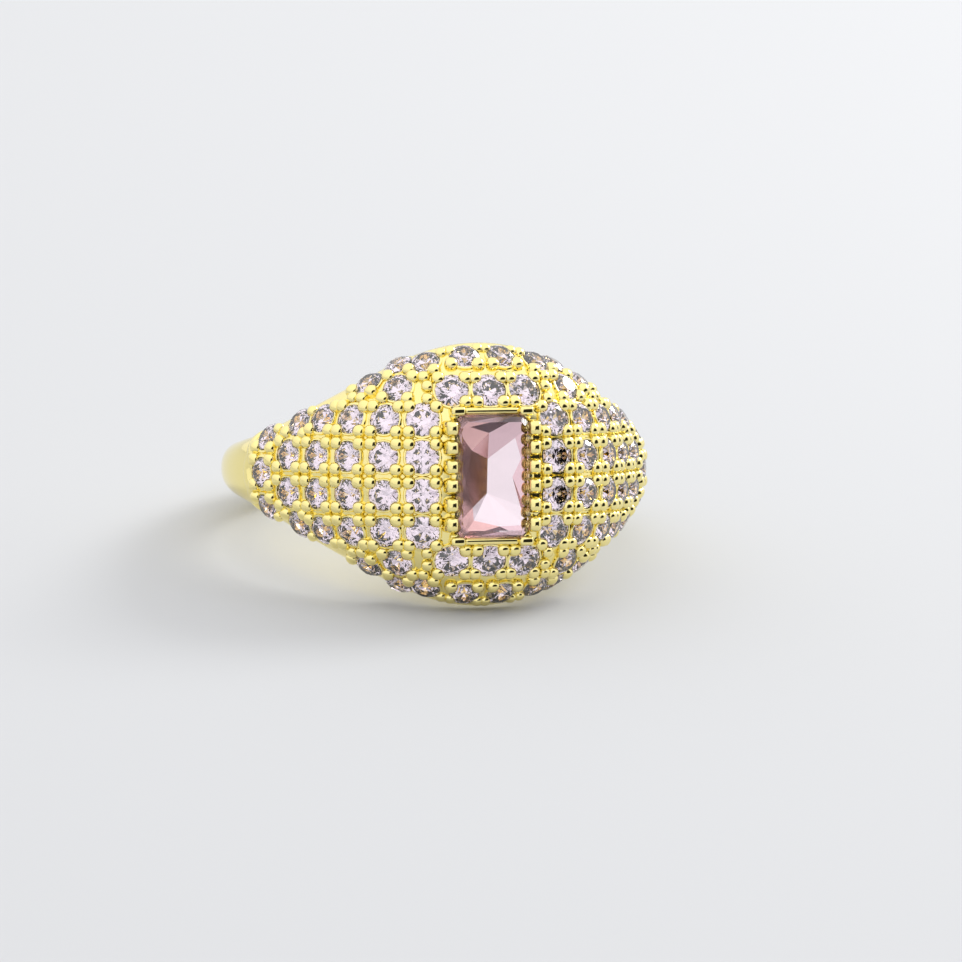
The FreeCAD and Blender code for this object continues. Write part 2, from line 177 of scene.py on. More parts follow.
def polished_gold_plate():
    """Yellow gold electroplated on cast brass, tumbled and polished: a mirror with the faint
    waviness of a small casting, its roughness rising a little with those waves."""
    material, tree = new_material("polished_gold_plate")
    gold = list(bpy.context.scene.ring_colours.gold)
    place = add_node(tree, "ShaderNodeTexCoord").outputs["Object"]
    # Casting skin: waves about 0.5 mm across and grain about 0.08 mm across.
    waves = add_node(tree, "ShaderNodeTexNoise", inputs={"Scale": 1 / (0.5 * MM), "Detail": 2.0},
                     links={"Vector": place})
    grain = add_node(tree, "ShaderNodeTexNoise", inputs={"Scale": 1 / (0.08 * MM), "Detail": 1.0},
                     links={"Vector": place})
    rough = add_node(tree, "ShaderNodeMapRange", inputs={"To Min": 0.05, "To Max": 0.13},
                     links={"Value": waves.outputs["Fac"]})
    relief = add_node(tree, "ShaderNodeBump", inputs={"Strength": 0.12, "Distance": 0.02 * MM},
                      links={"Height": waves.outputs["Fac"]})
    relief = add_node(tree, "ShaderNodeBump", inputs={"Strength": 0.05, "Distance": 0.006 * MM},
                      links={"Height": grain.outputs["Fac"], "Normal": relief.outputs["Normal"]})
    shader = add_node(tree, "ShaderNodeBsdfPrincipled", inputs={"Base Color": gold, "Metallic": 1.0},
                      links={"Roughness": rough.outputs["Result"], "Normal": relief.outputs["Normal"]})
    add_node(tree, "ShaderNodeOutputMaterial", links={"Surface": shader.outputs["BSDF"]})
    return material


def crystal_glass(name, tint):
    """Cut and polished crystal glass, lightly tinted through the body."""
    material, tree = new_material(name)
    shader = add_node(tree, "ShaderNodeBsdfPrincipled",
                      inputs={"Base Color": list(tint), "Roughness": 0.0, "IOR": 1.54,
                              "Transmission Weight": 1.0})
    add_node(tree, "ShaderNodeOutputMaterial", links={"Surface": shader.outputs["BSDF"]})
    return material


def cubic_zirconia(name, tint):
    """Cut and polished cubic zirconia: sharp facets, strong sparkle, tinted through the body."""
    material, tree = new_material(name)
    shader = add_node(tree, "ShaderNodeBsdfPrincipled",
                      inputs={"Base Color": list(tint), "Roughness": 0.0, "IOR": 2.16,
                              "Transmission Weight": 1.0})
    add_node(tree, "ShaderNodeOutputMaterial", links={"Surface": shader.outputs["BSDF"]})
    return material


def mirrored_back(name, tint):
    """Mirror foil fused to the back facets of a costume stone: throws the light back up, tinted; the tints it is given
    paint in highlight and shade.
    """
    material, tree = new_material(name)
    shader = add_node(tree, "ShaderNodeBsdfPrincipled",
                      inputs={"Base Color": list(tint), "Roughness": 0.22, "Metallic": 1.0})
    add_node(tree, "ShaderNodeOutputMaterial", links={"Surface": shader.outputs["BSDF"]})
    return material


def matt_paper():
    """Uncoated white paper sweep: matt, with a trace of tooth."""
    material, tree = new_material("matt_paper")
    place = add_node(tree, "ShaderNodeTexCoord").outputs["Object"]
    tooth = add_node(tree, "ShaderNodeTexNoise", inputs={"Scale": 1 / (0.4 * MM)}, links={"Vector": place})
    relief = add_node(tree, "ShaderNodeBump", inputs={"Strength": 0.02, "Distance": 0.05 * MM},
                      links={"Height": tooth.outputs["Fac"]})
    shader = add_node(tree, "ShaderNodeBsdfPrincipled",
                      inputs={"Base Color": list(bpy.context.scene.ring_colours.floor), "Roughness": 0.9,
                              "Specular IOR Level": 0.2},
                      links={"Normal": relief.outputs["Normal"]})
    add_node(tree, "ShaderNodeOutputMaterial", links={"Surface": shader.outputs["BSDF"]})
    return material


def material(name):
    """The named material, made when it is first asked for."""
    if name not in bpy.data.materials:
        tints = bpy.context.scene.ring_colours
        {"polished_gold_plate": polished_gold_plate,
         "rose_crystal_glass": lambda: crystal_glass("rose_crystal_glass", tints.centre),
         # Foil tints that paint the centre stone's light and shade: rose painted shade, pale painted highlight, mauve
         # painted half-shade.
         "rose_foil_painted_shade": lambda: mirrored_back("rose_foil_painted_shade", tints.centre_rose_painted_shade),
         "pale_foil_painted_highlight": lambda: mirrored_back("pale_foil_painted_highlight", tints.centre_painted_highlight),
         "mauve_foil_painted_half_shade": lambda: mirrored_back("mauve_foil_painted_half_shade", tints.centre_mauve_painted_half_shade),
         "lavender_cubic_zirconia": lambda: cubic_zirconia("lavender_cubic_zirconia", tints.round_stones),
         "matt_paper": matt_paper}[name]()
    return bpy.data.materials[name]


# --- the band's skin ----------------------------------------------------------
def fade(angle, spread, steepness):
    return np.exp(-((np.abs(angle) / spread) ** steepness))


def half_width(angle):
    sizes = bpy.context.scene.ring_band
    gain = sizes.head_half_width - sizes.shank_half_width
    return sizes.shank_half_width + gain * fade(angle, sizes.shoulder_spread, sizes.shoulder_steepness)


def crown_radius(angle):
    sizes = bpy.context.scene.ring_band
    return BORE_RADIUS + sizes.shank_thickness + sizes.dome_rise * fade(angle, sizes.dome_spread, sizes.dome_steepness)


def side_drop(angle):
    sizes = bpy.context.scene.ring_band
    gain = sizes.dome_side_drop - sizes.shank_side_drop
    return sizes.shank_side_drop + gain * fade(angle, sizes.dome_spread, sizes.dome_steepness)


def place(angle, radius, height):
    """Ring coordinates of a point at an angle in degrees round the finger."""
    turn = np.radians(angle)
    return np.stack(np.broadcast_arrays(radius * np.sin(turn), -radius * np.cos(turn), height), -1)


def skin_point(angle, height):
    power = bpy.context.scene.ring_band.section_power
    part = np.minimum(np.abs(height) / half_width(angle), 0.9999)
    fall = 1 - (1 - part ** power) ** (1 / power)
    return place(angle, crown_radius(angle) - side_drop(angle) * fall, height)


# --- stones' places, read from the CAD model ----------------------------------
def islands(node):
    """The separate solids of a CAD node, as lists of points in ring coordinates."""
    mesh = bmesh.new()
    mesh.from_mesh(frame["nodes"][node].data)
    bmesh.ops.remove_doubles(mesh, verts=mesh.verts, dist=0.002 * MM)
    left = set(mesh.verts)
    groups = []
    while left:
        front = [left.pop()]
        group = []
        while front:
            vert = front.pop()
            group.append(to_ring(vert.co))
            near = {edge.other_vert(vert) for edge in vert.link_edges} & left
            left -= near
            front += near
        groups.append(np.array(group))
    mesh.free()
    return groups


def seat_of(points):
    """Girdle centre, axis and radius of one round stone, from the points of its CAD solid."""
    middle = points.mean(0)
    _, directions = np.linalg.eigh((points - middle).T @ (points - middle))
    axis = directions[:, 0]
    heights = (points - middle) @ axis
    if abs(heights.max()) > abs(heights.min()):
        axis = -axis
        heights = -heights
    radii = np.linalg.norm(points - middle - heights[:, None] * axis, axis=1)
    girdle = heights[radii > radii.max() - 0.01].max()
    return middle + axis * girdle, axis, radii.max()


def read_seats():
    return {node: [seat_of(points) for points in islands(node)] for node in ROUND_NODES}


SEATS = read_seats()
ALL_SEATS = [seat for seats in SEATS.values() for seat in seats]
MIDDLES = np.array([centre for centre, _, _ in ALL_SEATS])
RADII = np.array([radius for _, _, radius in ALL_SEATS])
CENTRE_POINTS = to_ring([vert.co for vert in frame["nodes"]["centre_stone"].data.vertices])
CENTRE_LOW = CENTRE_POINTS.min(0)
CENTRE_HIGH = CENTRE_POINTS.max(0)


def around_at(centre, axis):
    """Unit vectors round the band and along the finger in the plane of a stone."""
    round_band = np.cross([0, 0, 1.0], axis)
    round_band = -round_band / np.linalg.norm(round_band)
    if np.dot(round_band, np.cross(axis, [0, 0, 1.0])) < 0:
        round_band = -round_band
    along = np.cross(axis, round_band)
    return round_band, along if along[2] > 0 else -along


# --- mesh helpers -------------------------------------------------------------
def finished(name, mesh, replaced=(), smooth_angle=None):
    """Links a piece, gives it its finish and ties it to the ring's body."""
    if smooth_angle is not None:
        mesh.polygons.foreach_set("use_smooth", [True] * len(mesh.polygons))
        mesh.set_sharp_from_angle(angle=math.radians(smooth_angle))
    mesh.name = name
    piece = bpy.data.objects.new(name, mesh)
    bpy.context.scene.collection.objects.link(piece)
    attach(piece, BODY)
    if replaced:
        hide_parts(*replaced)
    return piece


def held_inside(mesh, lift):
    """Draws back to the band's plain skin whatever stands more than a lift outside it."""
    sizes = bpy.context.scene.ring_band
    points = to_ring([vert.co for vert in mesh.vertices])
    radius = np.hypot(points[:, 0], points[:, 1])
    angle = np.degrees(np.arctan2(points[:, 0], -points[:, 1]))
    foot = crown_radius(angle) - side_drop(angle)
    out = np.maximum(radius - foot, 0) / (side_drop(angle) + lift)
    side = np.abs(points[:, 2]) / (half_width(angle) + lift / 4)
    over = np.maximum((out ** sizes.section_power + side ** sizes.section_power) ** (1 / sizes.section_power), 1)
    kept = place(angle, foot + (radius - foot) / over, points[:, 2] / over)
    mesh.vertices.foreach_set("co", to_row(kept).ravel())
    mesh.update()


def mesh_of(name, points, faces):
    mesh = bpy.data.meshes.new(name)
    mesh.from_pydata([tuple(p) for p in points], [], faces)
    mesh.update()
    return mesh


def lathe(profile, segments, capped=True):
    """Points and faces of a profile of (radius, height) pairs turned about Z, closed at both ends."""
    points = []
    faces = []
    for radius, height in profile:
        for i in range(segments):
            turn = 2 * math.pi * i / segments
            points.append((radius * math.cos(turn), radius * math.sin(turn), height))
    for k in range(len(profile) - 1):
        for i in range(segments):
            j = (i + 1) % segments
            faces.append((k * segments + i, k * segments + j, (k + 1) * segments + j, (k + 1) * segments + i))
    if capped:
        faces.append(tuple(reversed(range(segments))))
        faces.append(tuple(range((len(profile) - 1) * segments, len(profile) * segments)))
    return points, faces


def turned_out(mesh):
    """Faces of a closed mesh turned outwards."""
    work = bmesh.new()
    work.from_mesh(mesh)
    bmesh.ops.recalc_face_normals(work, faces=work.faces)
    work.to_mesh(mesh)
    work.free()
    return mesh


# --- repeated settings, by Geometry Nodes -------------------------------------
def setting_tree():
    """Puts a pattern object on every point, stood on its axis and turned to the band."""
    if "settings_on_points" in bpy.data.node_groups:
        return bpy.data.node_groups["settings_on_points"]
    tree = bpy.data.node_groups.new("settings_on_points", "GeometryNodeTree")
    face = tree.interface
    face.new_socket("Geometry", in_out="INPUT", socket_type="NodeSocketGeometry")
    face.new_socket("Pattern", in_out="INPUT", socket_type="NodeSocketObject")
    face.new_socket("Size", in_out="INPUT", socket_type="NodeSocketFloat")
    face.new_socket("Finish", in_out="INPUT", socket_type="NodeSocketMaterial")
    face.new_socket("Geometry", in_out="OUTPUT", socket_type="NodeSocketGeometry")
    given = add_node(tree, "NodeGroupInput").outputs
    named = {name: add_node(tree, "GeometryNodeInputNamedAttribute", {"data_type": kind}, {"Name": name})
             for name, kind in (("axis", "FLOAT_VECTOR"), ("round_band", "FLOAT_VECTOR"), ("scale", "FLOAT"))}
    upright = add_node(tree, "FunctionNodeAxesToRotation", {"primary_axis": "Z", "secondary_axis": "X"},
                       links={"Primary Axis": named["axis"].outputs["Attribute"],
                              "Secondary Axis": named["round_band"].outputs["Attribute"]})
    size = add_node(tree, "ShaderNodeMath", {"operation": "MULTIPLY"})
    tree.links.new(named["scale"].outputs["Attribute"], size.inputs[0])
    tree.links.new(given["Size"], size.inputs[1])
    pattern = add_node(tree, "GeometryNodeObjectInfo", links={"Object": given["Pattern"]})
    placed = add_node(tree, "GeometryNodeInstanceOnPoints",
                      links={"Points": given["Geometry"], "Instance": pattern.outputs["Geometry"],
                             "Rotation": upright.outputs["Rotation"], "Scale": size.outputs["Value"]})
    real = add_node(tree, "GeometryNodeRealizeInstances", links={"Geometry": placed.outputs["Instances"]})
    done = add_node(tree, "GeometryNodeSetMaterial",
                    links={"Geometry": real.outputs["Geometry"], "Material": given["Finish"]})
    add_node(tree, "NodeGroupOutput", links={"Geometry": done.outputs["Geometry"]})
    return tree


def repeated(name, pattern_mesh, seats, size, finish):
    """Mesh of a pattern repeated on (centre, axis, round_band, scale) seats in ring coordinates."""
    pattern = bpy.data.objects.new(name + "_pattern", pattern_mesh)
    points = mesh_of(name, to_row([seat[0] for seat in seats]), [])
    for key, kind, column in (("axis", "FLOAT_VECTOR", 1), ("round_band", "FLOAT_VECTOR", 2)):
        values = np.array([seat[column] for seat in seats]) @ RING_AXES
        points.attributes.new(key, kind, "POINT").data.foreach_set("vector", values.ravel())
    scales = points.attributes.new("scale", "FLOAT", "POINT")
    scales.data.foreach_set("value", [seat[3] for seat in seats])
    holder = bpy.data.objects.new(name + "_points", points)
    bpy.context.scene.collection.objects.link(holder)
    modifier = holder.modifiers.new("settings", "NODES")
    modifier.node_group = setting_tree()
    sockets = {item.name: item.identifier for item in modifier.node_group.interface.items_tree
               if item.in_out == "INPUT"}
    modifier[sockets["Pattern"]] = pattern
    modifier[sockets["Size"]] = size
    modifier[sockets["Finish"]] = material(finish)
    graph = bpy.context.evaluated_depsgraph_get()
    mesh = bpy.data.meshes.new_from_object(holder.evaluated_get(graph))
    bpy.data.objects.remove(holder)
    bpy.data.objects.remove(pattern)
    return mesh


# --- pieces: gold -------------------------------------------------------------
def smooth_step(value, low, high):
    part = np.clip((value - low) / (high - low), 0, 1)
    return part * part * (3 - 2 * part)


def pave_relief(points, angles):
    """How far the skin lies above or below its plain shape: sunk between the stones, raised at the pave's ends."""
    sizes = bpy.context.scene.ring_band
    end = max(abs(math.degrees(math.atan2(m[0], -m[1]))) for m in MIDDLES)
    near = np.full(points.shape[:2], 1e9)
    for middle, radius in zip(MIDDLES, RADII):
        near = np.minimum(near, np.linalg.norm(points - middle, axis=2) - radius)
    past_columns = (np.abs(angles)[:, None] - end) * math.radians(1) * crown_radius(angles)[:, None]
    outside = np.maximum(near - 0.36, -1.0)
    outside = np.where(past_columns < 0, np.minimum(outside, past_columns), outside)
    lip = np.abs(points[:, :, 2]) - (half_width(angles)[:, None] - sizes.rim_lip)
    edge = np.maximum(outside, lip)
    sunk = -sizes.sink * (1 - smooth_step(edge, -0.14, 0.02))
    ridge = sizes.collar_rise * smooth_step(outside, 0.0, 0.12) * (1 - smooth_step(outside, 0.4, 0.62))
    at_ends = smooth_step(np.abs(angles), end - 22, end - 10)[:, None]
    return sunk + ridge * at_ends


def band_mesh():
    """Closed band: skin over the top, rounded rims, bore wall with the hollow behind the head."""
    sizes = bpy.context.scene.ring_band
    fine = np.arange(-78, 78.01, 0.36)
    coarse = np.linspace(78, 282, 92)[1:-1]
    angles = np.concatenate([fine, coarse])
    wrapped = (angles + 180) % 360 - 180
    power = 2 / sizes.section_power
    crown = crown_radius(wrapped)
    drop = side_drop(wrapped)
    half = half_width(wrapped)
    edge_fall = np.minimum((crown - BORE_RADIUS - 0.12) / drop, 1.0)
    edge_turn = np.arccos(np.clip(1 - edge_fall, 0, 1) ** (1 / power))
    across = np.linspace(-1, 1, 81)
    turn = across[None, :] * edge_turn[:, None]
    radius = crown[:, None] - drop[:, None] * (1 - np.abs(np.cos(turn)) ** power)
    height = half[:, None] * np.sign(turn) * np.abs(np.sin(turn)) ** power
    skin = place(wrapped[:, None], radius, height)
    around = np.roll(skin, -1, 0) - np.roll(skin, 1, 0)
    along = np.gradient(skin, axis=1)
    normal = np.cross(around, along)
    normal /= np.linalg.norm(normal, axis=2)[:, :, None]
    skin = skin + normal * pave_relief(skin, wrapped)[:, :, None]
    rim_height = height[:, -1]
    inside = []
    for part in np.linspace(1, -1, 41):
        z = part * (rim_height - 0.1)
        spread = np.clip(1 - (wrapped / sizes.hollow_spread) ** 2, 0, 1) ** 0.5
        reach = np.maximum((half - sizes.hollow_rim) * (0.25 + 0.75 * spread), 0.05)
        deep = np.clip(1 - (np.abs(z) / reach) ** 3, 0, 1) ** 0.5 * spread
        depth = sizes.hollow_depth * smooth_step(deep, 0.0, 0.9)
        inside.append(place(wrapped, BORE_RADIUS + depth, z))
    inside = np.stack(inside, 1)
    upper = place(wrapped, BORE_RADIUS + 0.03, rim_height - 0.02)[:, None]
    lower = place(wrapped, BORE_RADIUS + 0.03, 0.02 - rim_height)[:, None]
    loop = np.concatenate([skin, upper, inside, lower], 1)
    stations, steps = loop.shape[:2]
    faces = []
    for i in range(stations):
        j = (i + 1) % stations
        for k in range(steps):
            m = (k + 1) % steps
            faces.append((i * steps + k, j * steps + k, j * steps + m, i * steps + m))
    return turned_out(mesh_of("band", to_row(loop.reshape(-1, 3)), faces))


def seat_cutters():
    """One mesh of all the round seats: a drum for the girdle, a cone for the pavilion, a hole to the bore."""
    points = []
    faces = []
    for centre, axis, radius in ALL_SEATS:
        profile = [(0.3 * radius, -3.3), (0.3 * radius, -0.68 * radius), (radius + 0.02, -0.08 * radius),
                   (radius + 0.02, 0.9)]
        ring, sides = lathe(profile, 16)
        round_band, along = around_at(centre, axis)
        start = len(points)
        points += [centre + p[0] * round_band + p[1] * np.cross(axis, round_band) + p[2] * axis for p in ring]
        faces += [tuple(start + v for v in face) for face in sides]
    return turned_out(mesh_of("seats", to_row(points), faces))


def centre_well():
    """Cutter under the centre stone, through to the hollow."""
    grow = 0.03
    low = CENTRE_LOW - grow
    high = CENTRE_HIGH + grow
    points = []
    for depth, draw in ((low[1] - 1.5, 0.0), (low[1] + 0.7, 0.0), (low[1] + 1.4, 1.0), (-BORE_RADIUS + 1, 1.0)):
        points += [(x, depth, z) for x, z in ((low[0] + draw, low[2] + draw), (high[0] - draw, low[2] + draw),
                                              (high[0] - draw, high[2] - draw), (low[0] + draw, high[2] - draw))]
    faces = [(0, 1, 2, 3), (15, 14, 13, 12)]
    for k in range(3):
        faces += [(4 * k + i, 4 * k + 4 + i, 4 * k + 4 + (i + 1) % 4, 4 * k + (i + 1) % 4) for i in range(4)]
    return turned_out(mesh_of("well", to_row(points), faces))


def cut_away(mesh, cutters):
    """The mesh with the cutters taken out of it."""
    body = bpy.data.objects.new("cut_body", mesh)
    bpy.context.scene.collection.objects.link(body)
    tools = []
    for cutter in cutters:
        tool = bpy.data.objects.new("cut_tool", cutter)
        bpy.context.scene.collection.objects.link(tool)
        modifier = body.modifiers.new("cut", "BOOLEAN")
        modifier.operation = "DIFFERENCE"
        modifier.solver = "MANIFOLD"
        modifier.object = tool
        tools.append(tool)
    result = bpy.data.meshes.new_from_object(body.evaluated_get(bpy.context.evaluated_depsgraph_get()))
    for item in [body] + tools:
        bpy.data.objects.remove(item)
    return result


class RING_OT_band(bpy.types.Operator):
    """Make the band: shank, shoulders and domed head with its pave floor"""
    bl_idname = "ring.band"
    bl_label = "Band"

    def execute(self, context):
        mesh = cut_away(band_mesh(), [seat_cutters(), centre_well()])
        mesh.materials.clear()
        mesh.materials.append(material("polished_gold_plate"))
        finished("band", mesh, ["ring_casting"], 38)
        return {"FINISHED"}


class RING_OT_cups(bpy.types.Operator):
    """Make the thin-walled cup round each round stone"""
    bl_idname = "ring.cups"
    bl_label = "Stone cups"

    def execute(self, context):
        wall = context.scene.ring_setting.cup_wall
        outer = 1.0 + wall / RADII.mean()
        profile = [(1.015, -0.5), (outer, -0.5), (outer, -0.02), (outer - 0.04, 0.06), (1.03, 0.06), (1.015, 0.0)]
        points, faces = lathe(profile + [profile[0]], 24, capped=False)
        pattern = mesh_of("cup", points, faces)
        work = bmesh.new()
        work.from_mesh(pattern)
        bmesh.ops.remove_doubles(work, verts=work.verts, dist=1e-5)
        bmesh.ops.recalc_face_normals(work, faces=work.faces)
        work.to_mesh(pattern)
        work.free()
        seats = []
        for centre, axis, radius in ALL_SEATS:
            seats.append((centre, axis, around_at(centre, axis)[0], radius))
        mesh = repeated("stone_cups", pattern, seats, MM, "polished_gold_plate")
        held_inside(mesh, 0.08)
        finished("stone_cups", mesh, smooth_angle=40)
        return {"FINISHED"}


def bead_pattern():
    """A rounded square grain on a short post, one unit across."""
    segments = 16
    levels = [(-0.4, 1.0), (-0.05, 1.0), (0.13, 0.96), (0.27, 0.85), (0.37, 0.68), (0.43, 0.46), (0.46, 0.22)]
    points = []
    for height, reach in levels:
        for i in range(segments):
            turn = 2 * math.pi * (i + 0.5) / segments
            c, s = math.cos(turn), math.sin(turn)
            square = (abs(c) ** 2.6 + abs(s) ** 2.6) ** (-1 / 2.6)
            points.append((0.5 * reach * square * c, 0.5 * reach * square * s, height))
    points.append((0, 0, 0.465))
    faces = [tuple(reversed(range(segments)))]
    for k in range(len(levels) - 1):
        for i in range(segments):
            j = (i + 1) % segments
            faces.append((k * segments + i, k * segments + j, (k + 1) * segments + j, (k + 1) * segments + i))
    top = (len(levels) - 1) * segments
    faces += [(top + i, top + (i + 1) % segments, len(points) - 1) for i in range(segments)]
    return mesh_of("bead", points, faces)


def bead_seats():
    """Four beads to a stone, one shared where two would merge and none on a stone."""
    sizes = bpy.context.scene.ring_setting
    reach_around = (sizes.column_pitch - sizes.bead_diameter - sizes.bead_gap) / 2
    reach_along = (sizes.stone_pitch - sizes.bead_diameter - sizes.bead_gap) / 2
    seats = []
    for centre, axis, _ in ALL_SEATS:
        round_band, along = around_at(centre, axis)
        for side_around, side_along in ((1, 1), (1, -1), (-1, 1), (-1, -1)):
            near = centre + round_band * (side_around * reach_around) + along * (side_along * reach_along)
            angle = math.degrees(math.atan2(near[0], -near[1]))
            limit = half_width(angle) - sizes.bead_rim
            spot = skin_point(angle, max(-limit, min(limit, near[2])))
            merges = any(np.linalg.norm(spot - other[0]) < sizes.bead_diameter / 2 for other in seats)
            covered = (np.linalg.norm(MIDDLES - spot, axis=1) < RADII).any()
            if not merges and not covered:
                seats.append((spot, axis, round_band, 0.85 if abs(near[2]) > limit else 1.0))
    return seats + filling_beads(seats)


def skin_axis(angle, height):
    """Outward unit normal of the plain skin."""
    step = 0.05
    around = skin_point(angle + step, height) - skin_point(angle - step, height)
    along = skin_point(angle, height + step) - skin_point(angle, height - step)
    normal = np.cross(around, along)
    return normal / np.linalg.norm(normal)


def filling_beads(seats):
    """Extra beads wherever the stones and their own beads leave room for one."""
    size = bpy.context.scene.ring_setting.bead_diameter
    end = max(abs(math.degrees(math.atan2(m[0], -m[1]))) for m in MIDDLES)
    extra = []
    for angle in np.arange(9.0, end, 1.0):
        for height in np.arange(0.0, half_width(angle) - 0.45, 0.15):
            spot = skin_point(angle, height)
            clear_of_stones = (np.linalg.norm(MIDDLES - spot, axis=1) - RADII).min() > 0.34 * size
            others = np.array([seat[0] for seat in seats + extra])
            clear_of_beads = np.linalg.norm(others - spot, axis=1).min() > 0.8 * size
            if clear_of_stones and clear_of_beads:
                for side in (1, -1):
                    for up in ((1, -1) if height > 0 else (1,)):
                        centre = skin_point(side * angle, up * height)
                        axis = skin_axis(side * angle, up * height)
                        extra.append((centre, axis, around_at(centre, axis)[0], 0.9))
    return extra


class RING_OT_beads(bpy.types.Operator):
    """Make the rounded beads that hold the round stones"""
    bl_idname = "ring.beads"
    bl_label = "Beads"

    def execute(self, context):
        size = context.scene.ring_setting.bead_diameter
        mesh = repeated("beads", bead_pattern(), bead_seats(), size * MM, "polished_gold_plate")
        finished("beads", mesh, smooth_angle=60)
        return {"FINISHED"}


def rounded_block(low, high, radius, segments=4):
    """Box in ring coordinates with every edge rounded."""
    work = bmesh.new()
    bmesh.ops.create_cube(work, size=1.0)
    low = np.array(low)
    high = np.array(high)
    for vert in work.verts:
        vert.co = Vector((low + high) / 2 + np.array(vert.co) * (high - low))
    bmesh.ops.bevel(work, geom=work.edges[:], offset=radius, segments=segments, profile=0.5, affect="EDGES")
    return work


def joined_blocks(name, blocks):
    """One mesh of rounded blocks, given as (low, high, radius)."""
    whole = bmesh.new()
    for low, high, radius in blocks:
        part = rounded_block(low, high, radius)
        scratch = bpy.data.meshes.new("block")
        part.to_mesh(scratch)
        part.free()
        whole.from_mesh(scratch)
        bpy.data.meshes.remove(scratch)
    mesh = bpy.data.meshes.new(name)
    for vert in whole.verts:
        vert.co = Vector(to_row(vert.co))
    bmesh.ops.recalc_face_normals(whole, faces=whole.faces)
    whole.to_mesh(mesh)
    whole.free()
    mesh.materials.append(material("polished_gold_plate"))
    return mesh


def pillow_pattern(width, length, foot):
    """A square prong with rounded sides and a domed top, its top at height zero."""
    segments = 24
    levels = [(-foot, 1.0), (-0.5, 1.0), (-0.35, 0.96), (-0.22, 0.87), (-0.13, 0.74), (-0.06, 0.55), (-0.02, 0.3)]
    points = []
    for height, reach in levels:
        for i in range(segments):
            turn = 2 * math.pi * (i + 0.5) / segments
            c, s = math.cos(turn), math.sin(turn)
            square = (abs(c) ** 4.5 + abs(s) ** 4.5) ** (-1 / 4.5)
            points.append((width / 2 * reach * square * c, length / 2 * reach * square * s, height))
    points.append((0, 0, 0))
    faces = [tuple(reversed(range(segments)))]
    for k in range(len(levels) - 1):
        for i in range(segments):
            j = (i + 1) % segments
            faces.append((k * segments + i, k * segments + j, (k + 1) * segments + j, (k + 1) * segments + i))
    top = (len(levels) - 1) * segments
    faces += [(top + i, top + (i + 1) % segments, len(points) - 1) for i in range(segments)]
    return mesh_of("prong", points, faces)


class RING_OT_prongs(bpy.types.Operator):
    """Make the square rounded prongs along the centre stone's long sides"""
    bl_idname = "ring.prongs"
    bl_label = "Prongs"

    def execute(self, context):
        sizes = context.scene.ring_setting
        top = crown_radius(0.0) + sizes.prong_rise
        centre_width = CENTRE_HIGH[0] - CENTRE_LOW[0]
        count = 2 * round((CENTRE_HIGH[2] - CENTRE_LOW[2]) / sizes.stone_pitch)
        seats = []
        for side in (-1, 1):
            for i in range(count):
                height = (i - (count - 1) / 2) * sizes.stone_pitch / 2
                x = side * (centre_width / 2 + sizes.prong_offset)
                seats.append((np.array([x, -top, height]), np.array([0, -1.0, 0]), np.array([1.0, 0, 0]), 1.0))
        pattern = pillow_pattern(sizes.prong_width, sizes.prong_length, 1.6)
        mesh = repeated("prongs", pattern, seats, MM, "polished_gold_plate")
        finished("prongs", mesh, smooth_angle=60)
        return {"FINISHED"}


class RING_OT_bezel(bpy.types.Operator):
    """Make the low bars past the centre stone's ends"""
    bl_idname = "ring.bezel"
    bl_label = "Bezel bars"

    def execute(self, context):
        crown = crown_radius(0.0)
        half_x = CENTRE_HIGH[0]
        half_z = CENTRE_HIGH[2]
        blocks = []
        for side in (-1, 1):
            inner = side * (half_z - 0.02)
            outer = side * (half_z + 0.36)
            blocks.append(((-half_x * 0.7, -crown + 0.1, min(inner, outer)),
                           (half_x * 0.7, -crown + 1.0, max(inner, outer)), 0.17))
            for across in (-1, 1):
                middle = across * half_x * 0.86
                blocks.append(((middle - 0.36, -crown - 0.12, min(inner, outer) - 0.04),
                               (middle + 0.36, -crown + 1.0, max(inner, outer) + 0.04), 0.17))
        finished("bezel_bars", joined_blocks("bezel_bars", blocks), smooth_angle=50)
        return {"FINISHED"}


# --- pieces: stones -----------------------------------------------------------
def brilliant():
    """Round brilliant of girdle radius one: table, stars, kites, halves, girdle and pavilion."""
    table, crown, star = 0.57, 0.3, 0.8
    girdle, pavilion, lower = 0.07, 0.84, 0.24
    step = math.pi / 8

    def at(radius, turn, height):
        return (radius * math.cos(turn * step), radius * math.sin(turn * step), height)

    star_height = crown * (1 - (star * math.cos(step) - table) / (1 - table))
    lower_height = -girdle - pavilion * (1 - lower * math.cos(step))
    points = [at(table, 2 * k, crown) for k in range(8)]
    points += [at(star, 2 * k + 1, star_height) for k in range(8)]
    points += [at(1, k, 0) for k in range(16)]
    points += [at(1, k, -girdle) for k in range(16)]
    points += [at(lower, 2 * k + 1, lower_height) for k in range(8)]
    points.append((0, 0, -girdle - pavilion))
    faces = [tuple(range(8))]
    for k in range(8):
        j = (k + 1) % 8
        before = (k - 1) % 8
        faces.append((k, 8 + k, j))
        faces.append((k, 8 + before, 16 + 2 * k, 8 + k))
        faces.append((8 + k, 16 + 2 * k, 17 + 2 * k))
        faces.append((8 + k, 17 + 2 * k, 16 + 2 * j))
        faces.append((32 + 2 * k, 48 + k, 33 + 2 * k))
        faces.append((33 + 2 * k, 48 + k, 32 + 2 * j))
        faces.append((56, 48 + k, 32 + 2 * k, 48 + before))
    for k in range(16):
        j = (k + 1) % 16
        faces.append((16 + k, 32 + k, 32 + j, 16 + j))
    return turned_out(mesh_of("brilliant", points, faces))


class RING_OT_round_stones(bpy.types.Operator):
    """Cut the round stones, a piece for each row and column"""
    bl_idname = "ring.round_stones"
    bl_label = "Round stones"

    def execute(self, context):
        for node, found in SEATS.items():
            seats = []
            for centre, axis, radius in found:
                round_band, along = around_at(centre, axis)
                seats.append((centre, axis, round_band, radius))
            mesh = repeated(node, brilliant(), seats, MM, "lavender_cubic_zirconia")
            finished(node.replace("_stones", "_brilliants"), mesh, [node])
        return {"FINISHED"}


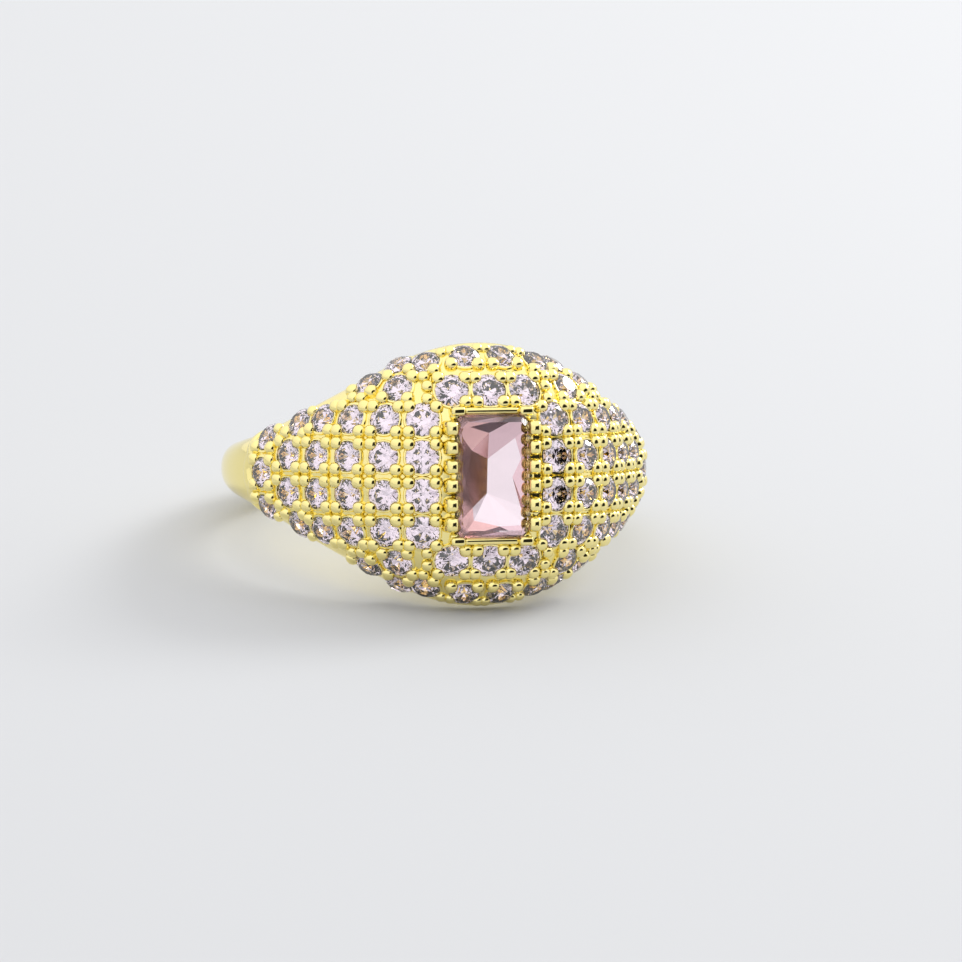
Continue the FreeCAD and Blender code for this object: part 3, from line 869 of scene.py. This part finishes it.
def cut_outline(half_x, half_z, corner, depth):
    """Cut-cornered rectangle, eight points, in ring coordinates."""
    pairs = [(half_x, half_z - corner), (half_x - corner, half_z), (corner - half_x, half_z),
             (-half_x, half_z - corner), (-half_x, corner - half_z), (corner - half_x, -half_z),
             (half_x - corner, -half_z), (half_x, corner - half_z)]
    return [(x, depth, z) for x, z in pairs]


# Back facets of the centre stone: across and along it as shares of its half sizes, then millimetres
# below the girdle. The keel lies off the middle and the facets turn about it. The facets are grouped
# by the foil tint that paints their light and shade: pale painted highlight over the right and lower
# facets, mauve painted half-shade at the top right, rose painted shade over the left.
BACK_POINTS = {
    "keel_top": (-0.07, 0.28, 0.62), "keel_foot": (-0.09, -0.28, 0.62),
    "right_top": (0.6, 0.62, 0.3), "right_high": (0.74, 0.28, 0.24), "right_waist": (0.53, -0.02, 0.32),
    "right_low": (0.72, -0.49, 0.24), "right_foot": (0.86, -0.8, 0.1), "foot": (0.2, -0.82, 0.24),
    "left_foot": (-0.45, -0.72, 0.26), "left_low": (-0.47, -0.51, 0.34), "left_waist": (-0.66, -0.1, 0.2),
    "left_high": (-0.5, 0.42, 0.32), "left_top": (-0.55, 0.8, 0.16),
    "top": (-0.06, 0.7, 0.34), "top_right": (0.42, 0.7, 0.28),
}
# Pale foil tint: painted highlight.
PAINTED_HIGHLIGHT_FACETS = (
    ("keel_top", "keel_foot", "right_waist"), ("keel_top", "right_waist", "right_high"),
    ("keel_top", "right_high", "right_top"), ("keel_foot", "right_low", "right_waist"),
    ("keel_foot", "right_foot", "right_low"), ("keel_foot", "foot", "right_foot"),
    ("keel_foot", "left_foot", "foot"), ("keel_foot", "left_low", "left_foot"),
)
# Mauve foil tint: painted half-shade.
PAINTED_HALF_SHADE_FACETS = (("keel_top", "right_top", "top_right"), ("keel_top", "top_right", "top"))
# Deep rose foil tint: painted shade over the stone's rose colour.
PAINTED_SHADE_FACETS = (
    ("keel_top", "top", "left_high"), ("keel_top", "left_high", "keel_foot"),
    ("keel_foot", "left_high", "left_waist"), ("keel_foot", "left_waist", "left_low"),
    ("top", "left_top", "left_high"),
)
BACK_EDGE = ("right_high", "right_top", "top_right", "top", "left_top", "left_high", "left_waist", "left_low",
             "left_foot", "foot", "right_foot", "right_low", "right_waist")


def joined_faces(work, rows, finish):
    """Faces between rows of eight corners, closed at the first and the last row."""
    loops = [[work.verts.new(point) for point in row] for row in rows]
    faces = [work.faces.new(loops[0]), work.faces.new(loops[-1])]
    for upper, lower in zip(loops, loops[1:]):
        for i in range(8):
            faces.append(work.faces.new((upper[i], upper[(i + 1) % 8], lower[(i + 1) % 8], lower[i])))
    for face in faces:
        face.material_index = finish
    return loops, faces


def ring_between(work, outer, inner):
    """Triangles between two closed loops of corners, by turn about the middle."""
    def turn(vert):
        return math.atan2(vert.co.z / CENTRE_HIGH[2], vert.co.x / CENTRE_HIGH[0])
    outer = sorted(outer, key=turn)
    inner = sorted(inner, key=turn)
    faces = []
    i = j = 0
    while i < len(outer) or j < len(inner):
        a, b = outer[i % len(outer)], inner[j % len(inner)]
        next_outer = turn(outer[i % len(outer)]) if i < len(outer) else 9
        next_inner = turn(inner[j % len(inner)]) if j < len(inner) else 9
        if next_outer < next_inner:
            faces.append(work.faces.new((outer[i - 1], a, inner[(j - 1) % len(inner)])))
            i += 1
        else:
            faces.append(work.faces.new((inner[j - 1], b, outer[(i - 1) % len(outer)])))
            j += 1
    return faces


class RING_OT_centre_stone(bpy.types.Operator):
    """Cut the rectangular centre stone: step crown over a foiled, faceted back whose foil tints paint in highlight and
    shade
    """
    bl_idname = "ring.centre_stone"
    bl_label = "Centre stone"

    def execute(self, context):
        half_x = CENTRE_HIGH[0]
        half_z = CENTRE_HIGH[2]
        top = CENTRE_LOW[1]
        belt = top + 0.62
        work = bmesh.new()
        rows = [cut_outline(half_x - 0.36, half_z - 0.36, 0.3, top),
                cut_outline(half_x - 0.12, half_z - 0.12, 0.4, top + 0.24),
                cut_outline(half_x, half_z, 0.45, top + 0.5),
                cut_outline(half_x, half_z, 0.45, belt)]
        loops, faces = joined_faces(work, rows, 0)
        work.faces.remove(faces[1])
        girdle = loops[-1]
        points = {name: work.verts.new((u * half_x, belt + depth, v * half_z))
                  for name, (u, v, depth) in BACK_POINTS.items()}
        # Each facet group takes the foil tint that paints its light or shade: 1 rose painted shade, 2 pale painted
        # highlight, 3 mauve painted half-shade.
        for finish, facets in ((1, PAINTED_SHADE_FACETS), (2, PAINTED_HIGHLIGHT_FACETS), (3, PAINTED_HALF_SHADE_FACETS)):
            for facet in facets:
                work.faces.new([points[name] for name in facet]).material_index = finish
        edge = [points[name] for name in BACK_EDGE]
        for face in ring_between(work, girdle, edge):
            # Painted shade by side: edge facets on the left take the rose painted shade, those on the right the mauve
            # painted half-shade.
            face.material_index = 1 if face.calc_center_median().x < 0 else 3
        # The back below the facets, down to the tip of the stone, in the rose foil tint that paints shade.
        depth = CENTRE_HIGH[1] - belt
        draw = [0.86 * half_x * share for share in (0.66 / depth, 1.0)]
        back = [cut_outline(half_x - d, half_z - d, 0.2, belt + below) for d, below in zip(draw, (0.66, depth))]
        joined_faces(work, back, 1)
        bmesh.ops.recalc_face_normals(work, faces=work.faces)
        for vert in work.verts:
            vert.co = Vector(to_row(vert.co))
        mesh = bpy.data.meshes.new("centre_stone_cut")
        work.to_mesh(mesh)
        work.free()
        for name in ("rose_crystal_glass", "rose_foil_painted_shade", "pale_foil_painted_highlight", "mauve_foil_painted_half_shade"):
            mesh.materials.append(material(name))
        finished("centre_stone_cut", mesh, ["centre_stone"])
        return {"FINISHED"}


# --- stage --------------------------------------------------------------------
VIEW_YAW = 15.2          # degrees, the camera stands to the -X side of the head
VIEW_RISE = 2.34         # degrees above the ring's middle plane
VIEW_DISTANCE = 450.0    # mm to the ring's centre
VIEW_WIDTH = 48.02       # mm taken in at the ring's centre
VIEW_AIM = (2.466, -0.689)   # mm right of and above the ring's centre that the camera looks at
SENSOR = 36.0


def make_camera():
    yaw = math.radians(VIEW_YAW)
    rise = math.radians(VIEW_RISE)
    away = np.array([-math.sin(yaw) * math.cos(rise), -math.cos(yaw) * math.cos(rise), math.sin(rise)])
    right = np.array([math.cos(yaw), -math.sin(yaw), 0.0])
    up = np.cross(away, right)
    up = up if up[2] > 0 else -up
    offset = right * VIEW_AIM[0] + up * VIEW_AIM[1]
    eye = to_row(away * VIEW_DISTANCE + offset)
    axes = [Vector(v @ RING_AXES) for v in (right, up, away)]
    turn = Matrix((axes[0], axes[1], axes[2])).transposed().to_4x4()
    data = bpy.data.cameras.new("camera")
    data.sensor_width = SENSOR
    data.lens = SENSOR * VIEW_DISTANCE / VIEW_WIDTH
    data.clip_start = 0.01
    data.clip_end = 10.0
    camera = bpy.data.objects.new("camera", data)
    camera.matrix_world = Matrix.Translation(Vector(eye)) @ turn
    bpy.context.scene.collection.objects.link(camera)
    bpy.context.scene.camera = camera


def soft_box(name, place, aim, size, power, tint="FFFFFF"):
    """Square soft light at a place, pointed at another."""
    data = bpy.data.lights.new(name, "AREA")
    data.size = size
    data.energy = power
    data.color = linear(tint)[:3]
    light = bpy.data.objects.new(name, data)
    light.location = place
    light.rotation_euler = (Vector(aim) - Vector(place)).to_track_quat("-Z", "Y").to_euler()
    bpy.context.scene.collection.objects.link(light)


def studio_surround():
    """White tent all round and overhead, with the dark room showing low in front."""
    world = bpy.data.worlds.new("studio")
    bpy.context.scene.world = world
    world.use_nodes = True
    tree = world.node_tree
    tree.nodes.clear()
    toward = add_node(tree, "ShaderNodeTexCoord").outputs["Generated"]
    parts = add_node(tree, "ShaderNodeSeparateXYZ", links={"Vector": toward}).outputs
    dark_way = Vector((0.45, -0.85, 0.05)).normalized()
    facing = add_node(tree, "ShaderNodeVectorMath", {"operation": "DOT_PRODUCT"}, {1: dark_way}, {0: toward})
    dark = add_node(tree, "ShaderNodeMapRange", {"interpolation_type": "SMOOTHSTEP"},
                    {"From Min": 0.76, "From Max": 0.84, "To Min": 1.0, "To Max": 0.02},
                    {"Value": facing.outputs["Value"]})
    overhead = add_node(tree, "ShaderNodeMapRange", {"interpolation_type": "SMOOTHSTEP"},
                        {"From Min": 0.0, "From Max": 0.8, "To Min": 1.0, "To Max": 1.22},
                        {"Value": parts["Z"]})
    level = add_node(tree, "ShaderNodeMath", {"operation": "MULTIPLY"})
    tree.links.new(dark.outputs["Result"], level.inputs[0])
    tree.links.new(overhead.outputs["Result"], level.inputs[1])
    light = add_node(tree, "ShaderNodeBackground", inputs={"Color": linear("FDFDFF")},
                     links={"Strength": level.outputs["Value"]})
    add_node(tree, "ShaderNodeOutputWorld", links={"Surface": light.outputs["Background"]})


class RING_OT_stage(bpy.types.Operator):
    """Set the pale floor, the soft lights and the camera"""
    bl_idname = "ring.stage"
    bl_label = "Stage"

    def execute(self, context):
        reach = 0.35
        low, _ = CAD_BOX
        corners = [(-reach, -0.16, low[2]), (reach, -0.16, low[2]), (reach, 2 * reach, low[2]), (-reach, 2 * reach, low[2])]
        mesh = mesh_of("floor", corners, [(0, 1, 2, 3)])
        mesh.materials.append(material("matt_paper"))
        floor = bpy.data.objects.new("floor", mesh)
        context.scene.collection.objects.link(floor)
        studio_surround()
        soft_box("key", (0.26, 0.1, 0.19), (0, 0, 0.005), 0.12, 0.5)
        make_camera()
        context.scene.view_settings.view_transform = "Standard"
        return {"FINISHED"}


# --- panel and registration ---------------------------------------------------
OPERATORS = (RING_OT_stage, RING_OT_band, RING_OT_cups, RING_OT_beads, RING_OT_prongs, RING_OT_bezel,
             RING_OT_round_stones, RING_OT_centre_stone)


class RING_PT_panel(bpy.types.Panel):
    """The ring's sizes, colours and pieces in the sidebar"""
    bl_idname = "RING_PT_panel"
    bl_label = "Pave cocktail ring"
    bl_space_type = "VIEW_3D"
    bl_region_type = "UI"
    bl_category = "Ring"

    def draw(self, context):
        for group in (context.scene.ring_band, context.scene.ring_setting, context.scene.ring_colours):
            box = self.layout.box()
            for name in group.__annotations__:
                box.prop(group, name)
        for operator in OPERATORS:
            self.layout.operator(operator.bl_idname)


GROUPS = {"ring_band": RingBandSizes, "ring_setting": RingSettingSizes, "ring_colours": RingColours}


def register():
    for item in (*GROUPS.values(), *OPERATORS, RING_PT_panel):
        bpy.utils.register_class(item)
    for name, group in GROUPS.items():
        setattr(bpy.types.Scene, name, bpy.props.PointerProperty(type=group))


def unregister():
    for name in GROUPS:
        delattr(bpy.types.Scene, name)
    for item in reversed((*GROUPS.values(), *OPERATORS, RING_PT_panel)):
        bpy.utils.unregister_class(item)


def main():
    register()
    for operator in OPERATORS:
        family, action = operator.bl_idname.split(".")
        getattr(getattr(bpy.ops, family), action)()
    bpy.context.view_layer.update()


if __name__ == "__main__":
    main()
